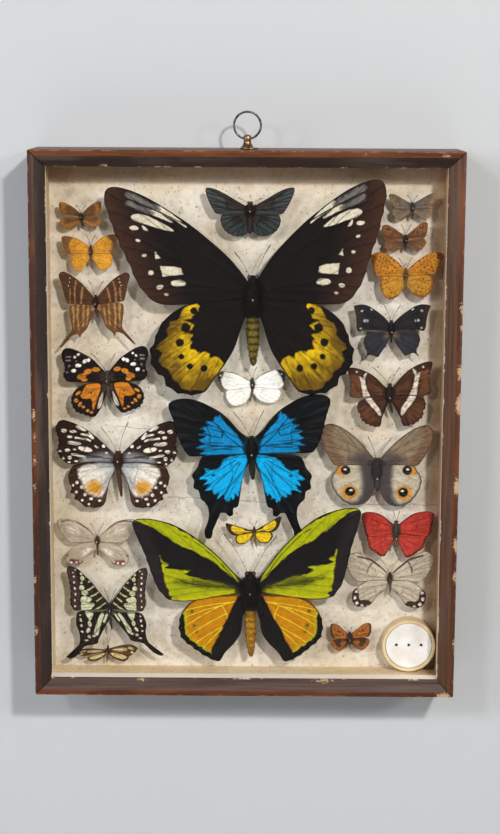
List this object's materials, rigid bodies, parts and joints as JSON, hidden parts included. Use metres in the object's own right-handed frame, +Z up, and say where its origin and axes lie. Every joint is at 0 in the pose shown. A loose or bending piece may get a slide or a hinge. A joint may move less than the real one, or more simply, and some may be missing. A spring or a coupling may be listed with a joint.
{
  "type": "wall-hung glazed insect display case",
  "caption": "Shallow glazed timber case with a hanging ring, holding spread butterflies and a moth on pins over a papered board, with a round fumigant cup in one corner.",
  "frame": {"origin": "centre of the back panel's rear face, which lies against the wall", "axes": "+X to the viewer's right, +Y into the wall, +Z up; the glass faces -Y"},
  "size_m": [0.3, 0.057, 0.4145],
  "materials": {
    "varnished_wood": "worn reddish-brown varnish",
    "hardboard": "bare brown board",
    "board_paper": "aged cream paper over soft board",
    "lining_paper": "aged cream paper",
    "clear_glass": "thin clear window glass",
    "aged_brass": "tarnished",
    "ring_steel": "dull grey",
    "cup_plastic": "yellowed ivory",
    "lid_plastic": "white",
    "brown_skipper_scales": "dry matt scales",
    "orange_tip_white_scales": "dry matt scales",
    "tan_striped_daggerwing_scales": "dry matt scales",
    "white_spotted_lady_scales": "dry matt scales",
    "great_crow_nymph_scales": "dry matt scales",
    "rose_glasswing_scales": "clear membrane with brown veins",
    "green_spotted_swordtail_scales": "dry matt scales",
    "cream_striped_longwing_scales": "dry matt scales",
    "golden_birdwing_scales": "dry velvety scales",
    "slate_day_moth_scales": "dry matt scales",
    "brown_tipped_white_scales": "dry matt scales",
    "blue_swallowtail_scales": "shining blue scales",
    "yellow_window_white_scales": "dry matt scales",
    "green_birdwing_scales": "silky green scales",
    "grey_hairstreak_scales": "dry matt scales",
    "eyed_ringlet_scales": "dry matt scales",
    "spotted_orange_scales": "dry matt scales",
    "dark_leafwing_scales": "dry matt scales",
    "white_banded_brown_scales": "dry matt scales",
    "owl_eyed_saturn_scales": "dry matt scales",
    "crimson_glider_scales": "dry matt scales",
    "pied_glasswing_scales": "clear membrane with brown veins",
    "small_copper_scales": "dry matt scales"
  },
  "bodies": {
    "box": {"side_left": "varnished_wood", "side_right": "varnished_wood", "side_bottom": "varnished_wood", "side_top": "varnished_wood", "back_panel": "hardboard", "pinning_board": "board_paper", "paper_lining": "lining_paper", "glass_pane": "clear_glass", "hanger_base": "aged_brass", "fumigant_cup": "cup_plastic", "cup_lid": "lid_plastic", "brown_skipper": "brown_skipper_scales", "orange_tip_white": "orange_tip_white_scales", "tan_striped_daggerwing": "tan_striped_daggerwing_scales", "white_spotted_lady": "white_spotted_lady_scales", "great_crow_nymph": "great_crow_nymph_scales", "rose_glasswing": "rose_glasswing_scales", "green_spotted_swordtail": "green_spotted_swordtail_scales", "cream_striped_longwing": "cream_striped_longwing_scales", "golden_birdwing": "golden_birdwing_scales", "slate_day_moth": "slate_day_moth_scales", "brown_tipped_white": "brown_tipped_white_scales", "blue_swallowtail": "blue_swallowtail_scales", "yellow_window_white": "yellow_window_white_scales", "green_birdwing": "green_birdwing_scales", "grey_hairstreak": "grey_hairstreak_scales", "eyed_ringlet": "eyed_ringlet_scales", "spotted_orange": "spotted_orange_scales", "dark_leafwing": "dark_leafwing_scales", "white_banded_brown": "white_banded_brown_scales", "owl_eyed_saturn": "owl_eyed_saturn_scales", "crimson_glider": "crimson_glider_scales", "pied_glasswing": "pied_glasswing_scales", "small_copper": "small_copper_scales"},
    "ring": {"hanger_ring": "ring_steel"}
  },
  "joints": [
    {"name": "ring_swing", "type": "hinge", "parent": "box", "child": "ring", "pos_m": [0.0002, -0.0285, 0.20105], "axis": [1, 0, 0], "range_deg": [-107, 107]}
  ]
}
